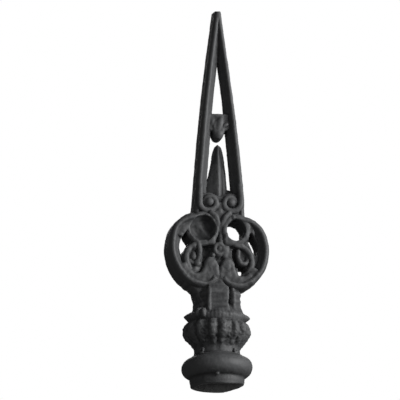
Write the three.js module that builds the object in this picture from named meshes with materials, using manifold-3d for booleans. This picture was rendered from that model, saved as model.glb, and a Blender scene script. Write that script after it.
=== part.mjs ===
import * as THREE from "three";
import { mergeVertices } from "three/addons/utils/BufferGeometryUtils.js";
import Module from "manifold-3d";

const wasm = await Module();
wasm.setup();

// A cast iron fence finial. Sizes are in millimetres, Z is up and Y points away from the viewer.

// The rim of the foot stands this far below the level that the heights are counted from
const footDrop = 1.3;

// Levels
const tipTop = 405;
const spireFoot = 184;
const heartWidest = 146;
const heartNotch = 113;
const neckWaist = 91;
const flareLevel = 74;
const cupLevel = 57;
const waistLevel = 38;
const torusLevel = 19.4;

// Radii of the round base
const footRadius = 26.4;
const collarRadius = 28.6;
const torusRadius = 37.2;
const waistRadius = 24;
const cupRadius = 34.2;
const flareRadius = 30.5;
const neckRadius = 21.8;
const neckPanelReach = 23.8;
const socketRadius = 19;
const socketDepth = 46;

// The flat heart and spire
const heartHalfWidth = 52.9;
const heartDepth = 42;
const bandWidth = 9;
const heartCrest = 3.8;
const spireFootDepth = 31;
const spireTipDepth = 27;
const railWidth = 10;
const railCrest = 3;

const roundSides = 32;
const tongueCount = 8;
const ornamentTurn = THREE.MathUtils.degToRad(-5);

// Turns a closed geometry into a solid, with faces out whichever way it was wound
function solid(geometry) {
  const bare = geometry.clone();
  bare.deleteAttribute("normal");
  bare.deleteAttribute("uv");
  const merged = mergeVertices(bare, 1e-4);
  const places = new Float32Array(merged.attributes.position.array);
  const faces = [];
  const source = merged.index.array;
  for (let i = 0; i < source.length; i += 3) {
    const [a, b, c] = [source[i], source[i + 1], source[i + 2]];
    if (a !== b && b !== c && c !== a) faces.push(a, b, c);
  }
  if (signedVolume(places, faces) < 0) faces.reverse();
  const mesh = new wasm.Mesh({ numProp: 3, vertProperties: places, triVerts: new Uint32Array(faces) });
  return new wasm.Manifold(mesh);
}

function signedVolume(places, faces) {
  const corner = (k) => new THREE.Vector3().fromArray(places, 3 * faces[k]);
  let sum = 0;
  for (let i = 0; i < faces.length; i += 3) {
    sum += corner(i).dot(corner(i + 1).cross(corner(i + 2)));
  }
  return sum / 6;
}

function joined(solids) {
  return solids.reduce((sum, next) => sum.add(next));
}

// Moves every vertex of a geometry by a rule of its own place
function reshape(geometry, rule) {
  const place = geometry.attributes.position;
  const point = new THREE.Vector3();
  for (let i = 0; i < place.count; i += 1) {
    point.fromBufferAttribute(place, i);
    rule(point);
    place.setXYZ(i, point.x, point.y, point.z);
  }
  return geometry;
}

function mirrored(geometry) {
  return reshape(geometry.clone(), (p) => { p.x = -p.x; });
}

// A solid and its mirror image across the middle plane
function pair(geometry) {
  return solid(geometry).add(solid(mirrored(geometry)));
}

// A flat outline in X and Z, centred on the middle plane, with its front and back edges bevelled
function plate(shape, depth, bevel = 0, curveSegments = 10) {
  const geometry = new THREE.ExtrudeGeometry(shape, {
    depth: depth - 2 * bevel,
    bevelEnabled: bevel > 0,
    bevelThickness: bevel,
    bevelSize: bevel,
    bevelOffset: -bevel,
    bevelSegments: 1,
    curveSegments,
  });
  geometry.translate(0, 0, bevel - depth / 2);
  return geometry.rotateX(Math.PI / 2);
}

function curveThrough(points) {
  const places = points.map(([x, z]) => new THREE.Vector3(x, 0, z));
  return new THREE.CatmullRomCurve3(places, false, "centripetal");
}

// A section carried along a curve in the X-Z plane: its x is towards the front, its y to the inside
function sweep(curve, section, steps) {
  return new THREE.ExtrudeGeometry(section, { steps, extrudePath: curve, bevelEnabled: false });
}

// A band with a rounded outer edge, a crest at the given distance from it, and a face that slopes
// back from the crest to a thinner inner edge
function dishedSection(depth, width, innerDepth, crest) {
  const front = depth / 2;
  const inner = innerDepth / 2;
  const half = [[front - 1.25 * crest, 0], [front - 0.3 * crest, 0.45 * crest], [front, crest], [inner, width]];
  const back = half.map(([x, y]) => [-x, y]).reverse();
  return new THREE.Shape([...half, ...back].map(([x, y]) => new THREE.Vector2(x, y)));
}

function lathe(profile, sides = roundSides) {
  const points = profile.map(([radius, level]) => new THREE.Vector2(radius, level));
  return new THREE.LatheGeometry(points, sides).rotateX(Math.PI / 2);
}

// The share of the way from one level to another, with soft ends
function ease(value, from, to) {
  return THREE.MathUtils.smoothstep(value, from, to);
}

function footAndTorus() {
  const inner = footRadius;
  const bulge = torusRadius - inner;
  const profile = [[0, -footDrop], [footRadius, -footDrop], [collarRadius, 7], [collarRadius, 9]];
  for (let step = 0; step <= 7; step += 1) {
    const angle = -Math.PI * 0.4 + Math.PI * 0.84 * (step / 7);
    profile.push([inner + bulge * Math.cos(angle), torusLevel + 11 * Math.sin(angle)]);
  }
  profile.push([waistRadius, waistLevel - 3], [waistRadius, waistLevel + 2], [0, waistLevel + 2]);
  return solid(lathe(profile));
}

// How far a tongue of the cup stands out at this angle: full at its two rims, hollowed between them,
// and low in the dart beside it
function tongueRise(angle) {
  const place = (angle - ornamentTurn) * tongueCount / (2 * Math.PI);
  const across = Math.abs(place - Math.floor(place) - 0.5) * 2;
  return 1 - ease(across, 0.55, 1) - 0.45 * (1 - ease(across, 0, 0.4));
}

function tonguedCup() {
  const profile = [
    [0, waistLevel], [waistRadius, waistLevel], [waistRadius + 0.8, waistLevel + 4],
    [28, waistLevel + 8.5], [32, waistLevel + 13], [cupRadius, cupLevel], [cupRadius, cupLevel + 4],
    [32.4, cupLevel + 8], [28.6, cupLevel + 12], [0, cupLevel + 12],
  ];
  const cup = lathe(profile, 6 * tongueCount);
  reshape(cup, (p) => {
    const radius = Math.hypot(p.x, p.y);
    if (radius < 1) return;
    const body = ease(p.z, waistLevel, waistLevel + 9) * (1 - ease(p.z, cupLevel + 7, cupLevel + 12));
    const grown = 1 + (tongueRise(Math.atan2(p.x, -p.y)) * 3 - 1.4) * body / radius;
    p.x *= grown;
    p.y *= grown;
  });
  return solid(cup);
}

// The flare over the cup, drawn out to a pointed leaf tip on each of the four sides
function leafFlare() {
  const base = cupLevel + 9;
  const profile = [
    [0, base], [28, base], [29, base + 2.5], [flareRadius, flareLevel - 1.2],
    [flareRadius + 0.6, flareLevel + 0.8], [27.4, flareLevel + 5], [25, flareLevel + 10],
    [neckRadius, neckWaist], [0, neckWaist],
  ];
  const flare = lathe(profile, 36);
  reshape(flare, (p) => {
    const radius = Math.hypot(p.x, p.y);
    if (radius < 1) return;
    const turn = 2 * (Math.atan2(p.x, -p.y) - ornamentTurn);
    const tip = Math.abs(Math.cos(turn)) ** 7;
    const nearEdge = Math.exp(-(((p.z - flareLevel) / 4) ** 2));
    const grown = 1 + 3.6 * tip * nearEdge / radius;
    p.x *= grown;
    p.y *= grown;
  });
  return solid(flare);
}

// The neck, round at its waist and flattened to the depth of the heart where it spreads under it
function neck() {
  const profile = [
    [0, neckWaist - 6], [neckRadius, neckWaist - 6], [neckRadius + 0.4, neckWaist + 4],
    [27, neckWaist + 11], [30.6, neckWaist + 15.5], [34, neckWaist + 19], [28, neckWaist + 21.5],
    [0, neckWaist + 21.5],
  ];
  const body = lathe(profile);
  reshape(body, (p) => {
    const flat = ease(p.z, neckWaist + 2, neckWaist + 20);
    p.y *= THREE.MathUtils.lerp(1, heartDepth * 0.44 / 34, flat);
  });
  return solid(body);
}

// A leaf panel lying up each side of the neck, the front and back ones running up to the notch
function neckPanels() {
  const panels = [];
  for (let side = 0; side < 4; side += 1) {
    const tall = side % 2 === 0;
    const top = tall ? heartNotch + 1 : neckWaist + 17;
    const half = 10.6;
    const shape = new THREE.Shape();
    shape.moveTo(-half - 1.5, flareLevel + 2);
    shape.lineTo(half + 1.5, flareLevel + 2);
    shape.lineTo(half, neckWaist + 2);
    shape.lineTo(half, top - 9);
    shape.lineTo(0, top);
    shape.lineTo(-half, top - 9);
    shape.lineTo(-half, neckWaist + 2);
    const panel = plate(shape, 8, 1.2);
    reshape(panel, (p) => {
      const lift = 4 * (1 - ease(p.z, flareLevel, neckWaist));
      p.y -= neckPanelReach - 4 + lift;
    });
    panel.rotateZ(side * Math.PI / 2 + ornamentTurn);
    panels.push(solid(panel));
  }
  return joined(panels);
}

// Outer edge of the right half of the heart, from the foot of the spire round to the notch
function heartEdge() {
  return curveThrough([
    [13, 184.6], [25, 183.6], [36.6, 179.2], [47.6, 168], [heartHalfWidth, heartWidest + 1], [49, 128],
    [41, 115.4], [31, 107.3], [19, 103.8], [7.5, 106.6], [1.2, heartNotch + 1], [1, heartNotch + 9],
  ]);
}

function heartBands() {
  return pair(sweep(heartEdge(), dishedSection(heartDepth, bandWidth, 30, heartCrest), 28));
}

function ellipse(x, z, halfWidth, halfHeight) {
  const shape = new THREE.Shape();
  shape.absellipse(x, z, halfWidth, halfHeight, 0, Math.PI * 2);
  return shape;
}

function outline(points) {
  const curve = new THREE.CatmullRomCurve3(
    points.map(([x, z]) => new THREE.Vector3(x, z, 0)), true, "centripetal");
  const places = curve.getPoints(points.length * 2);
  places.pop();
  return new THREE.Shape(places.map((p) => new THREE.Vector2(p.x, p.y)));
}

// The two round eyes in the top of the heart
const rightEye = { x: 16.4, z: 166.5, halfWidth: 11, halfHeight: 12.8 };
const leftEye = { x: -18.2, z: 166.5, halfWidth: 11.4, halfHeight: 12.6 };

function eyeShape(eye, margin = 0) {
  return ellipse(eye.x, eye.z, eye.halfWidth + margin, eye.halfHeight + margin);
}

// The pierced web inside the bands, before its openings are cut
function heartWeb() {
  const inset = 5;
  const middle = new THREE.Vector3(0, 0, heartWidest);
  const right = heartEdge().getPoints(30).map((p) => {
    const toMiddle = middle.clone().sub(p).setLength(inset);
    return p.clone().add(toMiddle);
  }).filter((p) => p.x > 1.5);
  const left = right.map((p) => new THREE.Vector3(-p.x, 0, p.z)).reverse();
  const loop = [...right, ...left].map((p) => new THREE.Vector2(p.x, p.z));
  return solid(plate(new THREE.Shape(loop), 26));
}

// Raised rings round the two eyes
function eyeRings() {
  return joined([rightEye, leftEye].map((eye) => solid(plate(eyeShape(eye, 4), 39, 1.4, 7))));
}

// The rounded inner end of each band, rising beside the middle below the rosette
function scrollEnds() {
  const end = outline([[2, 112], [1.6, 124], [5, 134], [12, 135], [16, 124], [13, 112]]);
  return pair(plate(end, 35, 2));
}

// The flat faces of the two lobes at the bottom of the heart
function lobeFaces() {
  const face = outline([
    [41, 122], [30, 109.5], [19, 106], [8, 109], [3, 117], [9, 124], [17, 118], [25, 117.5], [32, 122], [37, 130],
  ]);
  return pair(plate(face, 36, 1));
}

function spiral(centreX, centreZ, startRadius, endRadius, startAngle, turns) {
  const steps = Math.round(turns * 11);
  const points = [];
  for (let step = 0; step <= steps; step += 1) {
    const share = step / steps;
    const angle = startAngle - share * turns * 2 * Math.PI;
    const radius = THREE.MathUtils.lerp(startRadius, endRadius, share);
    points.push([centreX + radius * Math.cos(angle), centreZ + radius * Math.sin(angle)]);
  }
  return curveThrough(points);
}

// A rib with a rounded crest, standing as far to the back as to the front
function ribSection(depth, width) {
  const front = depth / 2;
  const half = width / 2;
  const corner = width * 0.3;
  return new THREE.Shape([
    new THREE.Vector2(front - corner, -half),
    new THREE.Vector2(front, -half + corner),
    new THREE.Vector2(front, half - corner),
    new THREE.Vector2(front - corner, half),
    new THREE.Vector2(corner - front, half),
    new THREE.Vector2(-front, half - corner),
    new THREE.Vector2(-front, corner - half),
    new THREE.Vector2(corner - front, -half),
  ]);
}

// Leaf curls in the lower half of the heart: an open hook with a small leaf inside it
function leafCurls() {
  const hook = curveThrough([[17, 149], [26, 147.5], [33, 141], [35, 131], [31, 122], [24, 117]]);
  const leaf = outline([[22, 146], [29, 143], [30, 135], [24, 136]]);
  const stalk = outline([[4, 150], [12, 153.5], [20, 151], [22, 145], [14, 145], [5, 143.5]]);
  return joined([
    pair(sweep(hook, ribSection(34, 4.6), 9)),
    pair(plate(leaf, 30, 1.2)),
    pair(plate(stalk, 33, 1.6)),
  ]);
}

// The stem between the eyes, with a round knob at its foot on each face
function stemAndRosette() {
  const stemDepth = 32;
  const knobRadius = 5.2;
  const knobLevel = heartWidest + 1.5;
  const stem = new THREE.Shape();
  stem.moveTo(-3.2, knobLevel - 7.5);
  stem.lineTo(3.2, knobLevel - 7.5);
  stem.lineTo(2.6, 170);
  stem.lineTo(5, spireFoot + 2);
  stem.lineTo(-5, spireFoot + 2);
  stem.lineTo(-2.6, 170);
  const parts = [solid(plate(stem, stemDepth, 1.2))];
  for (const face of [-1, 1]) {
    const knob = new THREE.SphereGeometry(knobRadius, 12, 8);
    knob.scale(1, 0.9, 1);
    knob.translate(0, face * (stemDepth - 1) / 2, knobLevel);
    parts.push(solid(knob));
  }
  return joined(parts);
}

// The openings that go right through the heart. The left lower one is only a slit.
function heartOpenings() {
  const slot = [[33.5, 166], [39.5, 159], [43, 150], [41.5, 141], [38.4, 137], [37, 142], [34, 149], [31, 157]];
  const leftSlot = slot.map(([x, z]) => [-x, z - 3]);
  const lower = [[15, 146], [19, 145], [19.5, 133], [28, 131], [28.5, 124], [26, 118], [20.5, 118], [17, 128]];
  const leftLower = [[-14, 146], [-18, 145], [-18, 132], [-18.5, 122], [-15.5, 118.5], [-13.5, 130]];
  const cut = heartDepth * 1.5;
  const shapes = [slot, leftSlot, lower, leftLower].map(outline);
  return joined([...shapes, eyeShape(rightEye)].map((shape) => solid(plate(shape, cut, 0, 8))));
}

// The left eye was never opened: it is sunk from both faces and keeps a wall in the middle
function blindEye() {
  const wall = 9;
  const reach = 40;
  const cuts = [-1, 1].map((face) => {
    const cut = plate(eyeShape(leftEye), reach, 0, 8);
    cut.translate(0, face * (reach + wall) / 2, 0);
    return solid(cut);
  });
  return joined(cuts);
}

function heart() {
  const raised = [eyeRings(), scrollEnds(), lobeFaces(), leafCurls(), stemAndRosette()];
  return joined([heartBands(), heartWeb(), ...raised])
    .subtract(heartOpenings())
    .subtract(blindEye());
}

// Half width of the spire over its outer edges at a level
function spireHalfWidth(level) {
  const share = Math.max(0, (level - spireFoot) / (tipTop - spireFoot));
  return THREE.MathUtils.lerp(27, 2.4, share) + 2.6 * Math.sin(Math.PI * share) * (1 - 0.35 * share);
}

// The two rails, leaning together until their inner slopes meet in a groove below the tip
function rails() {
  const foot = spireFoot - 6;
  const points = [];
  for (let step = 7; step >= 0; step -= 1) {
    const level = THREE.MathUtils.lerp(foot, tipTop + 3, step / 7);
    points.push([spireHalfWidth(level), level]);
  }
  const rail = sweep(curveThrough(points), dishedSection(spireFootDepth, railWidth, 14, railCrest), 10);
  reshape(rail, (p) => {
    const share = (p.z - foot) / (tipTop - foot);
    p.y *= THREE.MathUtils.lerp(1, spireTipDepth / spireFootDepth, share);
    p.x = Math.max(p.x, -0.3 * spireHalfWidth(p.z));
  });
  return pair(rail);
}

// Twin volutes closing the foot of the spire, on a solid plate between the rails
function volutes() {
  const eye = { x: 12, z: 196.5 };
  const back = new THREE.Shape();
  back.moveTo(-22, 180);
  back.lineTo(22, 180);
  back.lineTo(21, 208);
  back.lineTo(15, 213);
  back.lineTo(-8, 214);
  back.lineTo(-19, 225);
  const turn = spiral(eye.x, eye.z, 10, 3.4, -0.2, 1.05);
  return joined([
    solid(plate(back, 16)),
    solid(plate(outline([[-22, 182], [22, 182], [21, 203], [11, 206], [0, 202], [-11, 206], [-21, 203]]), 28)),
    pair(sweep(turn, ribSection(38, 4.8), 18)),
    pair(plate(ellipse(eye.x, eye.z, 3.2, 3.2), 37, 1.2, 4)),
  ]);
}

// The leafy bridge between the rails, with a pointed drop under it
function bridge() {
  const shape = outline([
    [-10, 294.5], [0, 293], [10, 294.5], [15, 287], [12, 278], [5, 273.5], [3, 269], [0, 266.5],
    [-3, 269], [-5, 273.5], [-12, 278], [-15, 287],
  ]);
  return solid(plate(shape, 20, 1)).add(solid(plate(ellipse(0, 281, 6, 8), 28, 3, 5)));
}

// The lance leaf standing on the volutes, with a ridge down each face
function lanceLeaf() {
  const profile = [
    [0, 196], [10.6, 196], [9.8, 221], [8.6, 231], [6.8, 244], [4.7, 256], [2.6, 260.6], [0, 262],
  ];
  const leaf = lathe(profile, 4);
  leaf.scale(1, 0.75, 1);
  return solid(leaf);
}

// The broken end of the tip: one corner lost lower than the other
function tipChips() {
  const low = new THREE.BoxGeometry(10, 60, 8);
  low.rotateY(THREE.MathUtils.degToRad(12));
  low.translate(-5.4, 0, tipTop + 3.6);
  const high = new THREE.BoxGeometry(30, 60, 8);
  high.rotateY(THREE.MathUtils.degToRad(-8));
  high.translate(0, 0, tipTop + 4);
  return solid(low).add(solid(high));
}

// The bore that takes the head of the post, opened out a little at its mouth
function socket() {
  const mouth = socketRadius + 3.4;
  return solid(lathe([
    [0, -6], [mouth, -6], [mouth, -footDrop], [socketRadius + 0.4, 8], [socketRadius, socketDepth],
    [0, socketDepth],
  ], 24));
}

// The rim of the foot is broken away on the right, more the further out
function footChip() {
  const chip = new THREE.BoxGeometry(60, 70, 10);
  chip.translate(0, 0, -5);
  chip.rotateY(THREE.MathUtils.degToRad(-17));
  chip.translate(9, 0, -footDrop);
  return solid(chip);
}

// The casting isn't quite true: its torus, heart and spire lean a little, each its own way, and the
// left shoulder of the heart is the fuller one
function settleAsCast(p) {
  const torus = ease(p.z, 6, 12) * (1 - ease(p.z, 30, 38));
  const stem = ease(p.z, 38, 60) * (1 - ease(p.z, 100, 112));
  const pierced = ease(p.z, 100, 122) * (1 - ease(p.z, 176, 190));
  const spire = ease(p.z, 190, tipTop);
  const lean = 0.036 * pierced;
  const shoulder = Math.exp(-(((p.x + 44) / 14) ** 2) - ((p.z - 171) / 14) ** 2);
  const x = p.x;
  p.x += lean * (p.z - heartWidest) - 0.6 * pierced - 0.3 * stem + 0.9 * ease(p.z, 184, 200) - 1.7 * spire;
  p.x -= 1.4 * shoulder;
  p.z += 0.034 * x * torus - lean * x + shoulder;
}

function castingGeometry() {
  const base = joined([footAndTorus(), tonguedCup(), leafFlare(), neck(), neckPanels()]);
  const spire = joined([rails(), volutes(), bridge(), lanceLeaf()]).subtract(tipChips());
  const whole = joined([base, heart(), spire]).subtract(socket()).subtract(footChip());
  const mesh = whole.getMesh();
  const geometry = new THREE.BufferGeometry();
  geometry.setAttribute("position", new THREE.BufferAttribute(mesh.vertProperties, 3));
  geometry.setIndex(new THREE.BufferAttribute(mesh.triVerts, 1));
  return reshape(geometry, settleAsCast).translate(0, 0, footDrop);
}

const castIron = new THREE.MeshStandardMaterial({ color: 0x4a4b4c, roughness: 0.6, metalness: 0.5 });
const casting = new THREE.Mesh(castingGeometry(), castIron);
casting.name = "finial_casting";

const finial = new THREE.Group();
finial.add(casting);

export default finial;
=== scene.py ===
import math
import bpy
import bmesh
from mathutils import Matrix, Vector, noise


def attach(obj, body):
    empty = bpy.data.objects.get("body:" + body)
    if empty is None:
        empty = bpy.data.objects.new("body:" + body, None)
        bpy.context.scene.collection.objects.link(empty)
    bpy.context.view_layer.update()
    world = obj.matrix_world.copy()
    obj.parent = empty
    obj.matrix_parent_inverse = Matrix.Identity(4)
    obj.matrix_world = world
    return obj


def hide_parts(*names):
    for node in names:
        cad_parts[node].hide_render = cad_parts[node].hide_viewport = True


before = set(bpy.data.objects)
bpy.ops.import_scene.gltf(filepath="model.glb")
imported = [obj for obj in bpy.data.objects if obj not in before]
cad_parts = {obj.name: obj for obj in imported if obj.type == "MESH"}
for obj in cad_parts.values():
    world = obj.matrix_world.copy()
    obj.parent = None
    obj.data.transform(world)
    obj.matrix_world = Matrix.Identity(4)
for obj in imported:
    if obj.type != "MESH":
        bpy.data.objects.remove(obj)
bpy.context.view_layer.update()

# The finial is shaped in millimetres and made metres at the end; levels are heights over the foot
footDrop = 1.3  # every level is raised by this once the forms are joined
tipTop = 405.0
spireFoot = 184.0
heartWidest = 146.0
standUp = Matrix.Rotation(math.pi / 2, 4, "X")
forms = []


def freeSelection():
    if bpy.context.object and bpy.context.object.mode != "OBJECT":
        bpy.ops.object.mode_set(mode="OBJECT")
    bpy.ops.object.select_all(action="DESELECT")


def takeUp(piece):
    freeSelection()
    piece.select_set(True)
    bpy.context.view_layer.objects.active = piece


def closeUp(piece, gap=0.01):
    takeUp(piece)
    bpy.ops.object.mode_set(mode="EDIT")
    bpy.ops.mesh.select_all(action="SELECT")
    bpy.ops.mesh.remove_doubles(threshold=gap)
    bpy.ops.mesh.normals_make_consistent(inside=False)
    bpy.ops.object.mode_set(mode="OBJECT")
    return piece


def addModifier(piece, name, kind, **settings):
    takeUp(piece)
    modifier = piece.modifiers.new(name, kind)
    for key, value in settings.items():
        setattr(modifier, key, value)
    bpy.ops.object.modifier_apply(modifier=name)


def mirroredCopy(piece):
    twin = piece.copy()
    twin.data = piece.data.copy()
    bpy.context.collection.objects.link(twin)
    twin.data.transform(Matrix.Scale(-1, 4, (1, 0, 0)))
    forms.append(closeUp(twin))
    return twin


def smoothStep(value, low, high):
    share = min(1.0, max(0.0, (value - low) / (high - low)))
    return share * share * (3 - 2 * share)


# One from low to high, and fading to nothing at start and end
def stretch(level, start, low, high, end):
    return smoothStep(level, start, low) * (1 - smoothStep(level, high, end))


def blendOf(a, b, share):
    return a + (b - a) * share


# More places along a soft curve through the given ones; a third number is the thickness there
def throughPoints(points, closed, parts):
    count = len(points)
    full = []
    for i in range(count if closed else count - 1):
        near = []
        for k in (i - 1, i, i + 1, i + 2):
            if closed:
                near.append(Vector(points[k % count][:2]))
            elif k < 0:
                near.append(2 * Vector(points[0][:2]) - Vector(points[1][:2]))
            elif k >= count:
                near.append(2 * Vector(points[-1][:2]) - Vector(points[-2][:2]))
            else:
                near.append(Vector(points[k][:2]))
        gaps = [max(1e-6, (near[k + 1] - near[k]).length ** 0.5) for k in range(3)]
        start = ((near[1] - near[0]) / gaps[0] - (near[2] - near[0]) / (gaps[0] + gaps[1])
                 + (near[2] - near[1]) / gaps[1]) * gaps[1]
        end = ((near[2] - near[1]) / gaps[1] - (near[3] - near[1]) / (gaps[1] + gaps[2])
               + (near[3] - near[2]) / gaps[2]) * gaps[1]
        thick = [thicknessAt(points[k % count]) for k in (i, i + 1)]
        for step in range(parts):
            t = step / parts
            place = (near[1] * (2 * t ** 3 - 3 * t ** 2 + 1) + start * (t ** 3 - 2 * t ** 2 + t)
                     + near[2] * (3 * t ** 2 - 2 * t ** 3) + end * (t ** 3 - t ** 2))
            full.append((place.x, place.y, blendOf(thick[0], thick[1], t)))
    if not closed:
        full.append((points[-1][0], points[-1][1], thicknessAt(points[-1])))
    return full


def thicknessAt(point):
    return point[2] if len(point) > 2 else 1.0


# A flat curve in X and Z, soft through its points or straight between them
def drawCurve(name, outline, closed, soft=True, steps=6):
    freeSelection()
    bpy.ops.curve.primitive_bezier_curve_add(location=(0, 0, 0))
    drawn = bpy.context.active_object
    drawn.name = name
    curve = drawn.data
    curve.dimensions = "2D"
    curve.splines.clear()
    places = throughPoints(outline, closed, steps) if soft else outline
    spline = curve.splines.new("POLY")
    spline.points.add(len(places) - 1)
    for knot, place in zip(spline.points, places):
        knot.co = (place[0], place[1], 0, 1)
        knot.radius = thicknessAt(place)
    spline.use_cyclic_u = closed
    return drawn


# Makes the drawn curve a mesh that stands upright
def raiseDrawn(drawn):
    takeUp(drawn)
    bpy.ops.object.convert(target="MESH")
    piece = bpy.context.active_object
    piece.data.transform(standUp)
    forms.append(closeUp(piece))
    return piece


# A section carried along a path: its x runs to the right of the way along, its y to the front
def band(name, path, section, closed=False, steps=8, both=False):
    edge = drawCurve(name + "Section", section, True, soft=False)
    drawn = drawCurve(name, path, closed, steps=steps)
    drawn.data.bevel_mode = "OBJECT"
    drawn.data.bevel_object = edge
    drawn.data.use_fill_caps = True
    piece = raiseDrawn(drawn)
    bpy.data.objects.remove(edge)
    if both:
        mirroredCopy(piece)
    return piece


# A flat outline made thick, with its edges rounded
def slab(name, outline, depth, rounding=1.0, soft=True, both=False, at=0.0):
    drawn = drawCurve(name, outline, True, soft=soft)
    drawn.data.fill_mode = "BOTH"
    drawn.data.extrude = depth / 2 - rounding
    drawn.data.bevel_depth = rounding
    drawn.data.bevel_resolution = 2
    drawn.data.offset = -rounding
    piece = raiseDrawn(drawn)
    piece.data.transform(Matrix.Translation((0, -at, 0)))
    if both:
        mirroredCopy(piece)
    return piece


# A profile of radius and level spun round the upright axis
def turned(name, profile, steps):
    freeSelection()
    bpy.ops.mesh.primitive_plane_add(size=1)
    piece = bpy.context.active_object
    piece.name = name
    shape = bmesh.new()
    knots = [shape.verts.new((radius, 0, level)) for radius, level in profile]
    for first, second in zip(knots, knots[1:]):
        shape.edges.new((first, second))
    shape.to_mesh(piece.data)
    shape.free()
    bpy.ops.object.mode_set(mode="EDIT")
    bpy.ops.mesh.select_all(action="SELECT")
    bpy.ops.mesh.spin(steps=steps, angle=2 * math.pi, center=(0, 0, 0), axis=(0, 0, 1))
    bpy.ops.object.mode_set(mode="OBJECT")
    forms.append(closeUp(piece))
    return piece


def bead(name, placing, segments=24, rings=16):
    freeSelection()
    bpy.ops.mesh.primitive_uv_sphere_add(segments=segments, ring_count=rings, radius=1)
    piece = bpy.context.active_object
    piece.name = name
    piece.data.transform(placing)
    forms.append(closeUp(piece))
    return piece


# An egg-shaped lump on the front, and on the back as well unless it is a single one
def ball(name, place, size, tilt=0.0, both=False, single=False):
    for face in ((-1,) if single else (-1, 1)):
        piece = bead(name, Matrix.Translation((place[0], face * place[1], place[2]))
                     @ Matrix.Rotation(math.radians(tilt), 4, "Y") @ Matrix.Diagonal((*size, 1)))
        if both:
            mirroredCopy(piece)


def softProfile(points, parts=5):
    return [place[:2] for place in throughPoints(points, False, parts)]


def ellipsePoints(x, level, halfWidth, halfHeight, count=12):
    return [(x + halfWidth * math.cos(a), level + halfHeight * math.sin(a))
            for a in (math.tau * k / count for k in range(count))]


# Takes the cutters away from a piece and deletes them
def cutOpenings(piece, cutters):
    for cutter in cutters:
        forms.remove(cutter)
        addModifier(piece, "opening", "BOOLEAN", operation="DIFFERENCE", solver="EXACT", object=cutter)
        bpy.data.objects.remove(cutter)


# A raised rib as deep to the back as to the front, with a round crest on each face
def ribSection(width, depth, crest=0.42):
    half = width / 2
    front = depth / 2
    drop = width * crest
    face = [(half, front - drop), (half * 0.9, front - drop * 0.45), (half * 0.6, front - drop * 0.13), (0, front),
            (-half * 0.6, front - drop * 0.13), (-half * 0.9, front - drop * 0.45), (-half, front - drop)]
    return face + [(x, -y) for x, y in reversed(face)]


# A band with a round crest near its outer edge and a face that slopes back to a thinner inner edge
def dishedSection(depth, width, innerDepth, crest, sag=0.5):
    front = depth / 2
    inner = innerDepth / 2
    face = [(0, front - 1.5 * crest), (0.1 * crest, front - 0.85 * crest), (0.36 * crest, front - 0.32 * crest),
            (0.75 * crest, front - 0.04 * crest), (1.1 * crest, front - 0.1 * crest)]
    start = face[-1]
    for step in range(1, 5):
        share = step / 5
        face.append((blendOf(start[0], width, share),
                     blendOf(start[1], inner, share) - sag * math.sin(math.pi * share)))
    face += [(width - 0.5, inner + 0.35), (width, inner - 0.5)]
    return face + [(x, -y) for x, y in reversed(face)]


# Foot, torus and the core of the waist, with the socket going up inside
baseSettings = {
    "socketTop": 46, "socketRadius": 19, "mouthRadius": 22.3, "rimRadius": 27.6, "spins": 160,
    "ringRadius": 26.2, "ringLevel": 19.2, "ringWidth": 11, "ringHeight": 10.6,
}


def makeBase():
    settings = baseSettings
    torus = []
    for step in range(25):
        angle = math.radians(-74 + 150 * step / 24)
        torus.append((settings["ringRadius"] + settings["ringWidth"] * math.cos(angle),
                      settings["ringLevel"] + settings["ringHeight"] * math.sin(angle)))
    bottom = -footDrop - 2.5  # the foot is cut flat above this at the end
    collar = [(settings["rimRadius"], bottom), (27.8, 0.6), (28.5, 4.5), (28.6, 7.6)]
    waist = [(28.2, 30.4), (27.0, 30.8), (26.4, 31.8), (24.6, 32.4), (23.5, 34.4), (23.3, 38), (24.2, 43),
             (25.5, 52), (26, 66), (23, 74), (17.5, 84), (17, 96)]
    socket, mouth, top = settings["socketRadius"], settings["mouthRadius"], settings["socketTop"]
    bore = [(0, top), (17.5, top), (socket, 44), (socket + 0.4, 8), (mouth, 0), (mouth + 0.6, bottom)]
    profile = bore + softProfile(collar) + torus + softProfile(waist) + [(0, 96)]
    turned("baseCore", profile, settings["spins"])
    ball("castingSpeck", (-5.2, 30.4, 8.2), (1.7, 1.5, 1.9), 20, single=True)
    ball("castingSpeck", (1.6, 36.0, 17.6), (1.5, 1.2, 1.8), single=True)


# Eight tongues round the cup, hollowed between their rims, and an eyelet at the foot of every second gap
cupSettings = {
    "tongues": 8, "turn": -8.5, "rise": 3.3, "levelBody": 0.62, "spins": 320,
    "eyeletTurn": -5.0, "eyeletRadius": 1.9, "eyeletWire": 0.85, "eyeletPlace": (25.6, 35.2), "eyeletLean": -0.25,
}


# How full the cup is at an angle and a height from 0 to 1; levelBody leaves it as it was spun
def tongueAt(angle, height):
    settings = cupSettings
    place = (angle - math.radians(settings["turn"])) * settings["tongues"] / (2 * math.pi)
    across = abs(place - math.floor(place) - 0.5) * 2
    body = 1 - 0.3 * smoothStep(across, 0.6, 0.8) - 0.8 * smoothStep(across, 0.74, 0.97)
    hollow = 0.62 * (1 - smoothStep(across, 0.2, 0.52)) * smoothStep(height, 0.08, 0.4)
    scoop = 0.3 * math.exp(-((height - 0.76) / 0.2) ** 2) * (1 - smoothStep(across, 0.15, 0.42))
    return body - hollow - scoop


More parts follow.
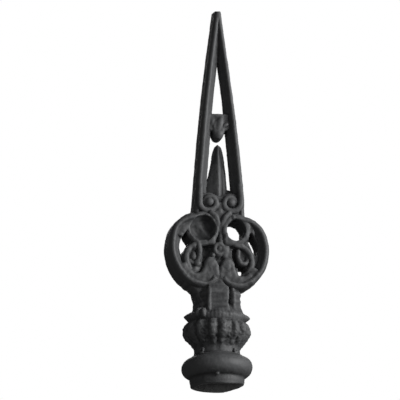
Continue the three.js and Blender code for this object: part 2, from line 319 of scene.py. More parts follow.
def makeCup():
    settings = cupSettings
    foot, top = 32.5, 69.2
    profile = softProfile([
        (22, foot), (23.5, 34), (23.4, 37), (23.8, 41), (27.1, 45.2), (30.6, 49.2), (33.4, 53), (34.6, 57),
        (34.5, 60.5), (33.4, 63.6), (31.2, 66.2), (29.0, 67.8), (27.5, top),
    ])
    cup = turned("tonguedCup", [(0, foot)] + profile + [(0, top)], settings["spins"])
    for vertex in cup.data.vertices:
        x, y, level = vertex.co
        radius = math.hypot(x, y)
        if radius < 5:
            continue
        height = (level - 33) / 36
        body = blendOf(0.45, 1, smoothStep(level, 36, 47)) * stretch(level, foot, 35, 66, 69.5)
        fullness = tongueAt(math.atan2(x, -y), height) - settings["levelBody"]
        grown = 1 + fullness * settings["rise"] * body / radius
        vertex.co.x *= grown
        vertex.co.y *= grown
    radius, level = settings["eyeletPlace"]
    for tongue in range(1, settings["tongues"], 2):
        angle = math.radians(settings["eyeletTurn"] + 360 * tongue / settings["tongues"])
        freeSelection()
        bpy.ops.mesh.primitive_torus_add(
            major_radius=settings["eyeletRadius"], minor_radius=settings["eyeletWire"],
            major_segments=20, minor_segments=10)
        eyelet = bpy.context.active_object
        eyelet.name = "eyelet"
        eyelet.data.transform(
            Matrix.Rotation(angle, 4, "Z") @ Matrix.Translation((0, -radius, level))
            @ Matrix.Rotation(math.pi / 2 + settings["eyeletLean"], 4, "X") @ Matrix.Diagonal((1, 1.25, 1, 1)))
        forms.append(eyelet)


# The leafy flare over the cup, with a tip at each side and a roll at the front and back
flareSettings = {
    "turn": -5.0, "tips": 3.6, "roll": 1.5, "spins": 240,
    # angle round the axis, level and lean of each leaf that stands up from the flare
    "leaves": ((-50, 75.4, 14), (-37, 74.2, -10), (140, 74.8, 12), (160, 73.8, -12)),
    "leafSize": (3.1, 4.4, 5.2), "leafRadius": 29.8,
}


def makeFlare():
    settings = flareSettings
    turn = math.radians(settings["turn"])
    foot, top = 65.5, 90
    profile = softProfile([
        (26.5, foot), (28.6, 67), (29.2, 69.6), (30.1, 72), (31.0, 73.6), (30.6, 74.9), (28.4, 77.0),
        (25.6, 79.6), (22.8, 82.6), (19, 86), (16.5, top),
    ])
    flare = turned("leafFlare", [(0, foot)] + profile + [(0, top)], settings["spins"])
    for vertex in flare.data.vertices:
        x, y, level = vertex.co
        radius = math.hypot(x, y)
        if radius < 5:
            continue
        angle = math.atan2(x, -y) - turn
        tip = abs(math.sin(angle)) ** 28
        roll = settings["roll"] * math.cos(angle) ** 2 * math.exp(-((level - 70) / 2.6) ** 2)
        small = 0.5 + 0.5 * math.cos(12 * angle)
        near = math.exp(-((level - 74) / 3.4) ** 2)
        vein = math.exp(-((level - 76) / 8) ** 2) * math.sin(24 * angle) ** 2
        grown = 1 + ((settings["tips"] * tip + 0.5 * small) * near + roll - 0.7 * vein) / radius
        vertex.co.x *= grown
        vertex.co.y *= grown
        vertex.co.z -= 1.2 * (1 - tip) * near * (1 - small)
    for angle, level, lean in settings["leaves"]:
        bead("flareLeafTip", Matrix.Rotation(math.radians(angle), 4, "Z")
             @ Matrix.Translation((0, -settings["leafRadius"], level))
             @ Matrix.Rotation(math.radians(lean), 4, "Y") @ Matrix.Diagonal((*settings["leafSize"], 1)), 20, 12)


# The square neck: how far its panels, corner strips and rims stand from the axis, and their turn on each side
neckSettings = {
    "turn": -5.0, "spins": 160, "panel": (20.5, 0), "corner": (22.1, 50), "rim": (23.4, 0),
    "streakCorners": (-49, 131), "streaks": 4, "streakRadius": 24.6,
}


def makeNeck():
    settings = neckSettings
    turn = math.radians(settings["turn"])
    body = turned("neckBody", [(0, 80), (17.5, 80)] + softProfile([
        (17, 91), (18.6, 97), (21.8, 101), (25.2, 104), (28.2, 106.6), (31, 109), (33, 111), (29, 112.6),
    ]) + [(0, 112.6)], settings["spins"])
    for vertex in body.data.vertices:
        flat = smoothStep(vertex.co.z, 93, 111)
        vertex.co.y *= blendOf(1, 0.46, flat)
        vertex.co.x -= 1.6 * flat
    slab("neckHaunch", [(-16, 88), (-22.4, 90), (-23.6, 94), (-25.4, 98.4), (-28.6, 102.6), (-31.6, 105.6),
                        (-36, 108.4), (-34, 113), (-18, 114)], 30, 4)
    # four panels, and a strip at each corner that leaves a groove beside them
    for side in range(4):
        front = side % 2 == 0
        top, shoulder = (120, 106) if front else (101, 98)
        panel = slab("neckPanel", [
            (-11, 74), (10.2, 74), (10.1, 86), (10.1, 96), (10.2, shoulder), (7, top - 3), (0, top),
            (-7, top - 3), (-11, shoulder), (-11, 96), (-11, 86),
        ], 7)
        corner = slab("neckCorner", [(-3.5, 76), (8.0, 76), (7.8, 90), (7.6, 103), (-3.1, 103), (-3.3, 90)], 6, 1.6)
        parts = [(panel, *settings["panel"]), (corner, *settings["corner"])]
        if front:
            rim = band("neckRim", [(-10.2, 78, 1.2), (-10.2, 88, 1.1), (-10.1, 97, 1), (-9.8, 106, 0.8)],
                       ellipsePoints(0, 0, 1.5, 1.6))
            parts.append((rim, *settings["rim"]))
        for part, lift, angle in parts:
            for vertex in part.data.vertices:
                vertex.co.y -= lift + 3.2 * (1 - smoothStep(vertex.co.z, 74, 85))
                vertex.co.y += 0.4 * max(0, vertex.co.z - 98)
            part.data.transform(Matrix.Rotation(math.radians(90 * side + angle) + turn, 4, "Z"))
        if side == 0:
            crevice = [(0.2, 114), (1.6, 117), (8.4, 109), (13.4, 105), (12.4, 102), (6, 105.4)]
            cutOpenings(panel, [slab("cutter", crevice, 16, 0.5, at=22)])
    # leaf streaks that run down across the left corner, and the same at the back
    for corner in settings["streakCorners"]:
        for count in range(settings["streaks"]):
            drop = 5.2 * count
            streak = band("neckStreak", [(-7.5, 103 - drop, 0.6), (-3.6, 97 - drop, 1.0), (1.0, 90.5 - drop, 1.1),
                                         (5.2, 83 - 4.2 * count, 0.7)], ellipsePoints(0, 0, 1.35, 1.6), steps=6)
            for vertex in streak.data.vertices:
                swell = 3.6 * (1 - smoothStep(vertex.co.z, 75, 88))
                vertex.co.y -= settings["streakRadius"] - 0.03 * vertex.co.x ** 2 + swell
            streak.data.transform(Matrix.Rotation(math.radians(corner) + turn, 4, "Z"))


# An eye is its middle across and up, and its half width and half height
heartSettings = {
    "depth": 42, "bandWidth": 9.2, "innerDepth": 29, "crest": 3.8, "webDepth": 26, "lobeDepth": 37.4,
    "rightEye": (17.2, 167.0, 10.6, 12.2), "leftEye": (-18.2, 166.5, 11.4, 12.6), "eyeDepth": 39,
    "throughDepth": 60, "rightPocketFloor": 6, "leftPocketFloor": 8,
}


def makeHeartPlates():
    settings = heartSettings
    rim = [(13, 183.4), (25, 182.2), (36.6, 178.6), (47.8, 168), (53.4, 147), (49.8, 128),
           (41.6, 115), (31.4, 106.8), (19, 103.4), (7.5, 106.2), (2.4, 112)]
    section = dishedSection(settings["depth"], settings["bandWidth"], settings["innerDepth"], settings["crest"])
    rightBand = band("heartBand", rim, section, steps=10)
    leftBand = mirroredCopy(rightBand)
    # the pierced web, and the thicker field round each eye
    half = [(12, 181), (25, 179.5), (34, 175.5), (43.5, 165.5), (48.5, 147), (45, 129), (38, 118.5),
            (29.5, 111), (19, 108), (9, 110.5), (2.5, 117)]
    web = slab("heartWeb", half + [(-x, level) for x, level in reversed(half)], settings["webDepth"], 0.8)
    rightField = slab("eyeField", [
        (6, 150.5), (14, 150.5), (24, 153), (30, 158), (32.6, 167), (31.6, 176), (25, 182.5), (11, 182.5),
        (6.4, 178), (4.4, 166), (4.4, 156)], settings["eyeDepth"], 2.6)
    leftField = slab("eyeField", [
        (-6, 150.5), (-4.6, 156), (-4.2, 166), (-5.4, 178), (-11, 182.5), (-26, 182.5), (-35, 176.5), (-37, 168),
        (-34, 158.5), (-27, 152.5), (-16, 150.5)], settings["eyeDepth"], 2.6)
    slab("lobeFace", [
        (43, 124), (37.5, 115), (30, 109.3), (19, 106), (8, 106.8), (0.2, 112.4), (0.1, 121), (1.8, 128),
        (5.4, 134.2), (11.4, 135.6), (15.2, 131), (16.8, 124), (20.2, 118.6), (26, 117.2), (32, 121.4),
        (36.5, 128)], settings["lobeDepth"], 2.2, both=True)
    slab("leftShell", [(-18.5, 149), (-19.4, 134), (-18.6, 124), (-22, 117), (-29, 116), (-34.5, 122),
                       (-36.5, 132), (-34.5, 142), (-28, 149.5)], 28, 1.6)
    ball("leftShellFold", (-26, 12.6, 121.5), (6.5, 4.4, 4.2), -28)
    # leafy fillings between the fields and the bands
    leftFilling = slab("leftFilling", [
        (-29, 182.6), (-36, 180.4), (-43, 173.4), (-46.8, 164), (-45, 158.6), (-39.6, 156.4), (-34.6, 157.6),
        (-33.2, 164), (-33.4, 172), (-31, 179)], 35, 1.2)
    rightFilling = slab("rightFilling", [
        (29, 181), (34.4, 177.6), (37, 169), (37, 160), (34, 156), (31.6, 158)], 35, 2)
    # a slot at each side, the eyes and a lower opening go right through, a pocket at each side only part of the way
    slot = [(33, 166), (39.5, 159.6), (43, 150), (42.4, 144), (40, 141.4), (37, 143.8), (34, 150), (30.8, 157)]
    leftSlot = [(-33.5, 164.4), (-39.5, 157.4), (-43, 147), (-41.5, 138), (-39, 134), (-37.4, 139),
                (-33.4, 146), (-30, 154)]
    lower = [(20.6, 129.4), (24, 131.4), (28.8, 129.4), (29, 122), (26, 118), (21.6, 118.4), (20.2, 122.6)]
    x, level, halfWidth, halfHeight = settings["leftEye"]
    eyes = (ellipsePoints(*settings["rightEye"]), ellipsePoints(x, level, halfWidth + 2.2, halfHeight + 2.2))
    holes = (slot, leftSlot, lower) + eyes
    for plate, openings in ((leftFilling, (leftSlot,)), (rightFilling, (slot,)), (web, holes), (rightField, holes),
                            (leftField, holes), (rightBand, holes), (leftBand, holes)):
        cutOpenings(plate, [slab("cutter", hole, settings["throughDepth"], 0.5) for hole in openings])
    rightPocket = [(14.6, 147), (18.6, 148), (21.4, 146), (22.4, 138), (22.8, 130), (21, 126.6), (17.6, 127),
                   (15.2, 134)]
    leftPocket = [(-6, 147), (-8.4, 142), (-11.4, 133), (-13, 123), (-15.6, 121.4), (-17.6, 126), (-18, 135),
                  (-18.8, 145), (-17.4, 148), (-12, 149)]
    for pocket, floor in ((rightPocket, settings["rightPocketFloor"]), (leftPocket, settings["leftPocketFloor"])):
        cutOpenings(web, [slab("cutter", pocket, 30, 0.5, at=side * (15 + floor)) for side in (-1, 1)])
    return leftField


# The left eye is closed by a hollowed wall, the right one has a soft lip
def makeEyes(leftField):
    settings = heartSettings
    x, level, halfWidth, halfHeight = settings["rightEye"]
    lip = list(reversed(ellipsePoints(x, level, halfWidth + 1.9, halfHeight + 1.9)))
    band("rightEyeRing", lip, ribSection(4.2, settings["eyeDepth"] - 0.4, 0.6), closed=True)
    x, level, halfWidth, halfHeight = settings["leftEye"]
    wall = softProfile([(3, 10.3), (6, 11.3), (8.5, 13.0), (10.6, 15.0), (12.2, 16.6), (13.6, 18.0), (15.2, 18.8),
                        (16.6, 17.4)], 4)
    back = [(radius, -height) for radius, height in reversed(wall)]
    bowl = turned("leftEyeBowl", [(0, 10.2)] + wall + back + [(0, -10.2)], 64)
    for vertex in bowl.data.vertices:
        inside = 1 - smoothStep(vertex.co.xy.length, 9, 14.5)
        vertex.co.z -= math.copysign(inside * (0.3 * vertex.co.x + 0.24 * vertex.co.y), vertex.co.z)
    bowl.data.transform(Matrix.Translation((x, 0, level)) @ Matrix.Rotation(math.pi / 2, 4, "X")
                        @ Matrix.Diagonal((halfWidth / 11.4, halfHeight / 11.4, 1, 1)))
    closeUp(bowl)
    # the eye's left side sinks towards the filling
    for part in (bowl, leftField):
        for vertex in part.data.vertices:
            vertex.co.y *= 1 - 0.13 * smoothStep(-vertex.co.x, 23, 33)


# Open hooks of the leaf curls, and inside them a deep curl on the right and a shallow one on the left
def makeCurls():
    ball("scrollEnd", (8.6, 16.9, 127.2), (5.8, 2.3, 7.6), 8, both=True)
    band("hook", [(4, 150, 0.8), (11, 152.4, 0.95), (18, 151.4, 1.05), (26.5, 149, 1.0), (33.4, 142, 1.0),
                  (35.6, 132.5, 1.0), (32.2, 123.5, 1.0), (25.5, 117.6, 0.8)], ribSection(4.6, 35.8), both=True)
    band("rightCurl", [(22.2, 150, 0.8), (20.8, 144.5, 1.0), (20.8, 138, 1.0), (23.4, 132.4, 1.05),
                       (28.4, 131.8, 1.0), (31.2, 136.4, 0.95), (30.0, 142.4, 0.85), (26.6, 143.6, 0.7),
                       (25.4, 140.6, 0.5)], ribSection(3.4, 33.4))
    slab("rightCurlFloor", ellipsePoints(25.8, 138.5, 4.6, 7.0), 20, 0.8)
    leftSection = ribSection(3.6, 34.6)
    band("leftCurl", [(-22, 150, 1.1), (-21.2, 141, 1.1), (-22.6, 133, 1.0), (-27, 128.6, 0.95), (-31.6, 131, 0.9),
                      (-32.6, 136.8, 0.85), (-29.8, 140.4, 0.8), (-26.8, 138, 0.7), (-27.4, 134.6, 0.55)],
         leftSection)
    ball("leftCurlBud", (-27.4, 14.2, 136.4), (3.2, 3.0, 4.6), 12)
    ball("leftCurlBud", (-23.4, 16.0, 128.2), (3.4, 2.2, 3.0), -20)
    band("leftCurlLeaf", [(-25.6, 151, 0.8), (-26.2, 146, 1.0), (-29.6, 143, 0.8)], leftSection)


# The stem with its two branches, and the rosette, knot and tendril at its foot
def makeStem():
    slab("stem", [(-2.7, 138), (2.7, 138), (4.2, 150), (3.2, 163), (2.8, 172), (5.4, 180), (8, 186), (-8, 186),
                  (-5.4, 180), (-2.8, 172), (-0.9, 164), (-0.7, 154)], 35, 1.8)
    band("branch", [(1.2, 162, 0.7), (1.8, 171, 0.95), (5, 180, 1.05), (11, 185.6, 1)], ribSection(4, 40), both=True)
    ball("stemKnot", (6.8, 15.2, 144), (3.8, 3.2, 8.0), 6)
    band("rosette", ellipsePoints(0.2, 145.6, 4.8, 5.6), ribSection(3.2, 36.6), closed=True)
    slab("rosetteFloor", ellipsePoints(0.2, 145.6, 4.4, 5.2), 24, 0.8)
    ball("rosetteBoss", (1.4, 15.4, 146.2), (2.9, 2.6, 3.6))
    band("tendril", [(-4.2, 142, 0.9), (-6.6, 138, 1.0), (-5.6, 133.6, 0.8)], ribSection(3.4, 35))
    ball("middleTear", (0, 13.6, 139.6), (2.2, 2.4, 4.4))


# Each rail is its side, and its width at the foot and at the top against the section's
spireSettings = {
    "footDepth": 31, "tipDepth": 27, "innerDepth": 14, "width": 9.6, "crest": 3.2,
    "footHalfWidth": 27.2, "tipHalfWidth": 2.9, "bow": 2.6,
    "rails": ((1, 1.02, 0.83), (-1, 1.13, 1.0)),
}


def spireHalfWidth(level):
    settings = spireSettings
    share = max(0.0, (level - spireFoot) / (tipTop - spireFoot))
    bow = settings["bow"] * math.sin(math.pi * share) * (1 - 0.35 * share)
    return blendOf(settings["footHalfWidth"], settings["tipHalfWidth"], share) + bow


def makeRails():
    settings = spireSettings
    foot = spireFoot - 6
    levels = [blendOf(foot, tipTop + 6, step / 12) for step in range(13)]
    section = dishedSection(settings["footDepth"], settings["width"], settings["innerDepth"], settings["crest"], 0.3)
    for side, footShare, topShare in settings["rails"]:
        path = [(side * spireHalfWidth(level), level) for level in levels[::-side]]
        rail = band("rail", path, section, steps=6)
        for vertex in rail.data.vertices:
            level = vertex.co.z
            inward = spireHalfWidth(level) - side * vertex.co.x
            inward *= blendOf(footShare, topShare, smoothStep(level, 250, 330))
            vertex.co.x = side * (spireHalfWidth(level) - min(inward, 1.3 * spireHalfWidth(level)))
            vertex.co.y *= blendOf(1, settings["tipDepth"] / settings["footDepth"], (level - foot) / (tipTop - foot))


def spiralPath(x, level, startRadius, endRadius, startAngle, turns, count=14):
    path = []
    for step in range(count + 1):
        share = step / count
        angle = startAngle - share * turns * math.tau
        radius = blendOf(startRadius, endRadius, share)
        path.append((x + radius * math.cos(angle), level + radius * math.sin(angle), blendOf(1.0, 0.8, share)))
    return path


# Two volutes on their back plates, and the knot between them
def makeVolutes():
    slab("voluteBack", [(-22, 180), (22, 180), (21, 207), (14, 212), (-8, 216), (-12.6, 222.6), (-19, 228)], 7,
         soft=False)
    slab("voluteField", [(-22, 182), (22, 182), (21.5, 203), (11, 207), (0, 203), (-11, 207), (-21.5, 203)], 27)
    volute = [(20.2, 224, 0.6), (21.6, 212, 0.9), (22.2, 203, 1.0)]
    volute += spiralPath(12, 196.5, 10.2, 3.6, -0.35, 1.12)
    band("volute", volute, ribSection(4.9, 38), steps=6, both=True)
    ball("voluteEye", (11.8, 16.4, 196.6), (3.8, 2.9, 3.9), both=True)
    slab("knot", [(-4.6, 178), (4.6, 178), (4, 186), (6.5, 192), (0, 197), (-6.5, 192), (-4, 186)], 32, 1.6)
    ball("knotBoss", (0, 15.8, 185.5), (3.2, 2.2, 4.0))


# The leafy bridge between the rails, with a pointed drop
def makeBridge():
    slab("bridgeBar", [(-14, 294.2), (-5, 294.4), (5, 294.4), (14, 294.2), (15, 284), (10.6, 278.6), (6, 276.4),
                       (0, 275), (-6, 276.2), (-10.6, 278), (-15, 284)], 19, 1.2)
    slab("bridgeDrop", [(-6.4, 284), (0, 288), (6.4, 284), (6.0, 276), (4.6, 271), (2.6, 268.4), (0, 267.6),
                        (-2.4, 268.4), (-4.4, 271), (-5.8, 276)], 22, 2.2)
    ball("bridgeFold", (1.0, 9.6, 282.6), (3.4, 2.6, 9.0), 14)
    ball("dropEnd", (0.4, 9.6, 272.8), (3.8, 2.6, 3.8))
    ball("bridgeRim", (-0.4, 8.8, 292.8), (7.0, 1.7, 1.3))
    ball("bridgeSide", (-6.6, 8.4, 284.6), (2.0, 2.2, 5.4), 12)
    band("bridgeLeaf", [(2.6, 279.4, 0.6), (5.6, 281.6, 0.9), (9.0, 283.6, 0.9), (13.4, 284.8, 0.4)],
         ribSection(3.2, 27), steps=6)


# The lance leaf, with a ridge and a groove down each face, and wider at the foot on its left
lanceSettings = {"voxel": 0.9, "ridge": -0.6, "swell": 7.6, "halfWidth": 10.8, "leftHalfWidth": 14.6, "groove": 3.4}


def makeLance():
    settings = lanceSettings
    leaf = slab("lanceLeaf", [
        (-14.6, 196), (10.2, 196), (9.4, 210), (8.7, 222), (7.9, 233), (6.6, 245), (4.9, 254.5), (3.2, 259.8),
        (0.4, 261.8), (-2.4, 260.2), (-4.9, 254.5), (-6.6, 245), (-8.6, 233), (-10.2, 226.4), (-12.8, 221),
        (-14.4, 212)], 4, 1.4)
    addModifier(leaf, "fineLeaf", "REMESH", mode="VOXEL", voxel_size=settings["voxel"])
    for vertex in leaf.data.vertices:
        x, y, level = vertex.co
        wide = settings["leftHalfWidth"] if x < settings["ridge"] and level < 240 else settings["halfWidth"]
        half = max(1.0, wide * (1 - smoothStep(level, 206, 268) ** 1.2))
        across = min(1.0, abs(x - settings["ridge"]) / half)
        swell = settings["swell"] * (1 - across) ** 0.8 * (1 - 0.45 * smoothStep(level, 225, 262))
        groove = 2.2 * math.exp(-((x - settings["groove"]) / 1.1) ** 2) * (1 - smoothStep(level, 226, 246))
        vertex.co.y += math.copysign(max(0, swell - groove), y)


# The casting isn't quite true: how far each stretch of it leans or sits to the side
settleSettings = {
    "heartLean": 0.036, "ringTilt": 0.034, "heart": -0.6, "stem": -0.3, "lobes": 0.9, "spireFoot": 0.9,
    "spireTip": -1.9, "leftShoulder": -2.2, "shoulderDrop": -0.2,
}


def settleAsCast(piece):
    settings = settleSettings
    for vertex in piece.data.vertices:
        x, y, level = vertex.co
        torus = stretch(level, 6, 12, 30, 38)
        stem = stretch(level, 38, 60, 100, 112)
        pierced = stretch(level, 100, 122, 176, 190)
        lobes = math.exp(-((level - 122) / 16) ** 2)
        shoulder = math.exp(-((x + 44) / 14) ** 2 - ((level - 171) / 14) ** 2)
        lean = settings["heartLean"] * pierced
        vertex.co.x += lean * (level - heartWidest) + settings["heart"] * pierced + settings["stem"] * stem
        vertex.co.x += settings["lobes"] * lobes + settings["leftShoulder"] * shoulder
        vertex.co.x += settings["spireFoot"] * smoothStep(level, 184, 200)
        vertex.co.x += settings["spireTip"] * smoothStep(level, 190, tipTop)
        vertex.co.z += settings["ringTilt"] * x * torus - lean * x + settings["shoulderDrop"] * shoulder + footDrop


def cutAway(piece, point, normal):
    takeUp(piece)
    bpy.ops.object.mode_set(mode="EDIT")
    bpy.ops.mesh.select_all(action="SELECT")
    bpy.ops.mesh.bisect(plane_co=point, plane_no=normal, use_fill=True, clear_outer=True)
    bpy.ops.object.mode_set(mode="OBJECT")


# swell, lumps and grain push the skin out; wrinkles, carving, tongues and bore roughen their own parts
castSettings = {
    "voxel": 0.72, "smooth": 2, "faces": 190000, "swell": 0.58, "lumps": 0.25, "grain": 0.24,
    "wrinkles": 1.1, "carving": 0.55, "tongues": (0.9, 0.7), "bore": 1.2,
    "tipCut": 2.5, "tipDip": 1.3, "chipAngle": 10.5, "chipPlace": 9,
}


def castWhole():
    settings = castSettings
    freeSelection()
    for form in forms:
        form.select_set(True)
    bpy.context.view_layer.objects.active = forms[0]
    bpy.ops.object.join()
    casting = bpy.context.active_object
    casting.name = "finialCasting"
    casting.data.name = "finialCasting"
    settleAsCast(casting)
    addModifier(casting, "oneCasting", "REMESH", mode="VOXEL", voxel_size=settings["voxel"])
    # the tip is broken off, and so is the rim of the foot on the right
    chip = math.radians(settings["chipAngle"])
    cutAway(casting, (0, 0, tipTop + footDrop + settings["tipCut"]), (0.04, -0.1, 1))
    cutAway(casting, (settings["chipPlace"], 0, 0), (math.sin(chip), 0, -math.cos(chip)))
    return casting


# How far the skin moves out at a place
def skinPush(place):
    settings = castSettings
    radius = math.hypot(place.x, place.y)
    push = settings["swell"] + settings["grain"] * noise.noise(place * 0.8)
    push += settings["lumps"] * (noise.noise(place * 0.11) + 0.5 * noise.noise(place * 0.27))
    neck = stretch(place.z, 70, 78, 108, 116)
    if neck > 0:
        push += neck * settings["wrinkles"] * noise.noise(Vector((place.x * 0.07, place.y * 0.07, place.z * 0.27)))
    carved = stretch(place.z, 104, 116, 178, 190) * smoothStep(-abs(place.x), -46, -38)
    push += carved * settings["carving"] * noise.noise(place * 0.24)
    cup = stretch(place.z, 38, 46, 64, 70)
    broad, fine = settings["tongues"]
    push += cup * (broad * noise.noise(place * 0.2) + fine * noise.noise(place * 0.45))
    bore = (1 - smoothStep(radius, 22.5, 24)) * (1 - smoothStep(place.z, 18, 30))
    push += bore * settings["bore"] * noise.noise(Vector((place.x * 0.3, place.y * 0.3, place.z * 0.1)))
    return push


def finishSkin(casting):
    settings = castSettings
    addModifier(casting, "softEdges", "SMOOTH", factor=0.5, iterations=settings["smooth"])
    normals = [vertex.normal.copy() for vertex in casting.data.vertices]
    for vertex, normal in zip(casting.data.vertices, normals):
        vertex.co += normal * skinPush(vertex.co)
    cutAway(casting, (0, 0, 0), (0, 0, -1))
    tip = tipTop + footDrop
    for vertex in casting.data.vertices:
        if vertex.co.z > tip - 3:
            dip = settings["tipDip"] * math.exp(-((vertex.co.x + 1.6) / 0.9) ** 2)
            vertex.co.z -= (dip + 0.5 * noise.noise(vertex.co * 0.7)) * smoothStep(vertex.co.z, tip - 3, tip)
    share = settings["faces"] / (2 * len(casting.data.polygons))
    addModifier(casting, "lighter", "DECIMATE", ratio=min(1.0, share))
    casting.data.transform(Matrix.Scale(0.001, 4))
    takeUp(casting)
    bpy.ops.object.shade_smooth()


# In metres: how far a place stands out or lies deep to count as full relief, and where the painted light inside the
# socket's mouth ends
reliefSettings = {"rounds": 8, "full": 0.0006, "scaleRadius": (0.0225, 0.0245), "scaleTop": (0.003, 0.012)}


# How far each point stands out of or lies below its surroundings, for wear on raised places and painted shade in
# hollows
def readRelief(casting):
    settings = reliefSettings
    mesh = casting.data
    shape = bmesh.new()
    shape.from_mesh(mesh)
    places = [vertex.co.copy() for vertex in shape.verts]
    normals = [vertex.normal.copy() for vertex in shape.verts]
    links = [[edge.other_vert(vertex).index for edge in vertex.link_edges] for vertex in shape.verts]
    shape.free()
    soft = places
    for turn in range(settings["rounds"]):
        soft = [sum((soft[k] for k in near), Vector()) / len(near) if near else soft[i]
                for i, near in enumerate(links)]
    full = settings["full"]
    relief = [(place - smooth).dot(normal) / full for place, smooth, normal in zip(places, soft, normals)]
    layer = mesh.attributes.new("relief", "FLOAT", "POINT")
    layer.data.foreach_set("value", [min(1.0, max(-1.0, value)) for value in relief])
    # painted light: a mask over the socket's inner wall near its mouth, where the colour is made paler to stand in
    # for light reaching inside
    scale = mesh.attributes.new("boreWallPaintedLight", "FLOAT", "POINT")
    scale.data.foreach_set("value", [
        (1 - smoothStep(math.hypot(place.x, place.y), *settings["scaleRadius"]))
        * (1 - smoothStep(place.z, *settings["scaleTop"])) for place in places])


# the pale bore colour is painted light for the inside of the socket's mouth
ironSettings = {
    "dark": (0.052, 0.053, 0.055, 1), "light": (0.105, 0.107, 0.11, 1), "scale": (0.3, 0.3, 0.3, 1),
    "metallic": 0.1, "roughest": 0.7, "smoothest": 0.52, "patches": 55, "sand": 900, "sandHeight": 0.0003,
}


def addNode(nodes, kind, sockets):
    node = nodes.new(kind)
    for name, value in sockets.items():
        node.inputs[name].default_value = value
    return node


def makeIron():
    settings = ironSettings
    iron = bpy.data.materials.new("castIron")
    iron.use_nodes = True
    nodes, links = iron.node_tree.nodes, iron.node_tree.links
    shader = nodes["Principled BSDF"]
    shader.inputs["Metallic"].default_value = settings["metallic"]
    coordinates = nodes.new("ShaderNodeTexCoord")
    # worn edges are light, and hollows are darkened as painted shade, broken up by patches
    patches = addNode(nodes, "ShaderNodeTexNoise", {"Scale": settings["patches"], "Detail": 6})
    links.new(coordinates.outputs["Object"], patches.inputs["Vector"])
    relief = nodes.new("ShaderNodeAttribute")
    relief.attribute_name = "relief"
    # raised places go to the light end as wear, and hollows go to the dark end as painted shade
    wearAndPaintedShade = addNode(nodes, "ShaderNodeMapRange", {"From Min": -0.9, "From Max": 0.9})
    links.new(relief.outputs["Fac"], wearAndPaintedShade.inputs["Value"])
    tone = nodes.new("ShaderNodeMath")
    tone.operation = "MULTIPLY_ADD"
    tone.inputs[1].default_value = 0.35
    links.new(patches.outputs["Fac"], tone.inputs[0])
    links.new(wearAndPaintedShade.outputs["Result"], tone.inputs[2])
    ramp = nodes.new("ShaderNodeValToRGB")
    for stop, position, colour in zip(ramp.color_ramp.elements, (0.35, 1.0), (settings["dark"], settings["light"])):
        stop.position = position
        stop.color = colour
    links.new(tone.outputs["Value"], ramp.inputs["Fac"])
    # painted light: the inner wall of the socket's mouth is made paler, standing in for light reaching inside
    inside = nodes.new("ShaderNodeAttribute")
    inside.attribute_name = "boreWallPaintedLight"
    pale = nodes.new("ShaderNodeMix")
    pale.data_type = "RGBA"
    pale.inputs["B"].default_value = settings["scale"]
    links.new(inside.outputs["Fac"], pale.inputs["Factor"])
    links.new(ramp.outputs["Color"], pale.inputs["A"])
    links.new(pale.outputs["Result"], shader.inputs["Base Color"])
    gloss = addNode(nodes, "ShaderNodeMapRange", {"To Min": settings["roughest"], "To Max": settings["smoothest"]})
    links.new(patches.outputs["Fac"], gloss.inputs["Value"])
    links.new(gloss.outputs["Result"], shader.inputs["Roughness"])
    # the grain of the sand mould
    sand = addNode(nodes, "ShaderNodeTexNoise", {"Scale": settings["sand"], "Detail": 3})
    links.new(coordinates.outputs["Object"], sand.inputs["Vector"])
    bump = addNode(nodes, "ShaderNodeBump", {"Strength": 0.25, "Distance": settings["sandHeight"]})
    links.new(sand.outputs["Fac"], bump.inputs["Height"])
    links.new(bump.outputs["Normal"], shader.inputs["Normal"])
    return iron


# The photograph is taken from a little to the left and from below, from far off
viewSettings = {"azimuth": -10.5, "elevation": -12.8, "distance": 9.0, "lens": 764.0, "right": -0.018, "up": 0.1989}


def makeCamera():
    settings = viewSettings
    a, e = math.radians(settings["azimuth"]), math.radians(settings["elevation"])
    right = Vector((math.cos(a), math.sin(a), 0))
    up = Vector((-math.sin(a) * math.sin(e), math.cos(a) * math.sin(e), math.cos(e)))
    toward = Vector((math.sin(a) * math.cos(e), -math.cos(a) * math.cos(e), math.sin(e)))
    aim = right * settings["right"] + up * settings["up"]
    freeSelection()
    bpy.ops.object.camera_add(location=aim + toward * settings["distance"])
    camera = bpy.context.active_object
    camera.rotation_euler = toward.to_track_quat("Z", "Y").to_euler()
    camera.data.lens = settings["lens"]
    camera.data.clip_end = 50
    bpy.context.scene.camera = camera
    return right, toward


# A lamp is how far it stands to the right, towards the camera and up, then its watts and its width
studioSettings = {
    "keyLight": (1.68, 0.74, 0.6, 39.5, 1.2), "frontFill": (-0.5, 1.9, 0.1, 2.7, 1.2),
    "backFill": (0, -2.2, 0.8, 22, 1.4), "aimLevel": 0.2, "sky": 0.06, "backdrop": 1.0,
    "floorSize": 24, "floorLevel": -2.3, "floorGlow": 0.55,
}


def addLight(name, right, toward):
    across, near, up, power, size = studioSettings[name]
    aim = Vector((0, 0, studioSettings["aimLevel"]))
    place = aim + right * across + toward * near + Vector((0, 0, up))
    freeSelection()
    bpy.ops.object.light_add(type="AREA", location=place)
    lamp = bpy.context.active_object
    lamp.name = name
    lamp.data.energy = power
    lamp.data.size = size
    lamp.rotation_euler = (place - aim).to_track_quat("Z", "Y").to_euler()


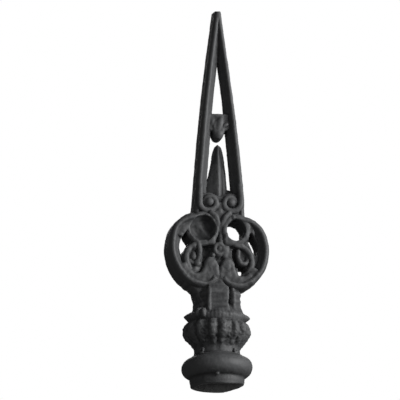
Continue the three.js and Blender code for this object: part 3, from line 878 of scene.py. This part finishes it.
# The floor stays pale from every side, and throws no light up at the casting
def makeFloor():
    settings = studioSettings
    freeSelection()
    bpy.ops.mesh.primitive_plane_add(size=settings["floorSize"], location=(0, 0, settings["floorLevel"]))
    floor = bpy.context.active_object
    floor.name = "floor"
    floor.visible_diffuse = False
    floor.visible_glossy = False
    paint = bpy.data.materials.new("floorPaint")
    paint.use_nodes = True
    shader = paint.node_tree.nodes["Principled BSDF"]
    shader.inputs["Base Color"].default_value = (0.8, 0.8, 0.8, 1)
    shader.inputs["Roughness"].default_value = 0.8
    shader.inputs["Emission Color"].default_value = (1, 1, 1, 1)
    shader.inputs["Emission Strength"].default_value = settings["floorGlow"]
    floor.data.materials.append(paint)


# A dim sky lights the casting, and the camera sees a white one
def makeSky():
    world = bpy.data.worlds.new("studio")
    bpy.context.scene.world = world
    world.use_nodes = True
    nodes, links = world.node_tree.nodes, world.node_tree.links
    dim = nodes["Background"]
    dim.inputs["Color"].default_value = (1, 1, 1, 1)
    dim.inputs["Strength"].default_value = studioSettings["sky"]
    pale = addNode(nodes, "ShaderNodeBackground", {"Color": (1, 1, 1, 1), "Strength": studioSettings["backdrop"]})
    rays = nodes.new("ShaderNodeLightPath")
    mix = nodes.new("ShaderNodeMixShader")
    links.new(rays.outputs["Is Camera Ray"], mix.inputs["Fac"])
    links.new(dim.outputs["Background"], mix.inputs[1])
    links.new(pale.outputs["Background"], mix.inputs[2])
    links.new(mix.outputs["Shader"], nodes["World Output"].inputs["Surface"])
    bpy.context.scene.view_settings.view_transform = "Standard"


print("base, cup and neck")
makeBase()
makeCup()
makeFlare()
makeNeck()
print("heart")
makeEyes(makeHeartPlates())
makeCurls()
makeStem()
print("spire")
makeRails()
makeVolutes()
makeBridge()
makeLance()
print("one casting of", len(forms), "forms")
casting = castWhole()
print("skin")
finishSkin(casting)
print("iron")
readRelief(casting)
casting.data.materials.clear()
casting.data.materials.append(makeIron())
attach(casting, "root")
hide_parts("finial_casting")
print("studio")
right, toward = makeCamera()
for lampName in ("keyLight", "frontFill", "backFill"):
    addLight(lampName, right, toward)
makeFloor()
makeSky()
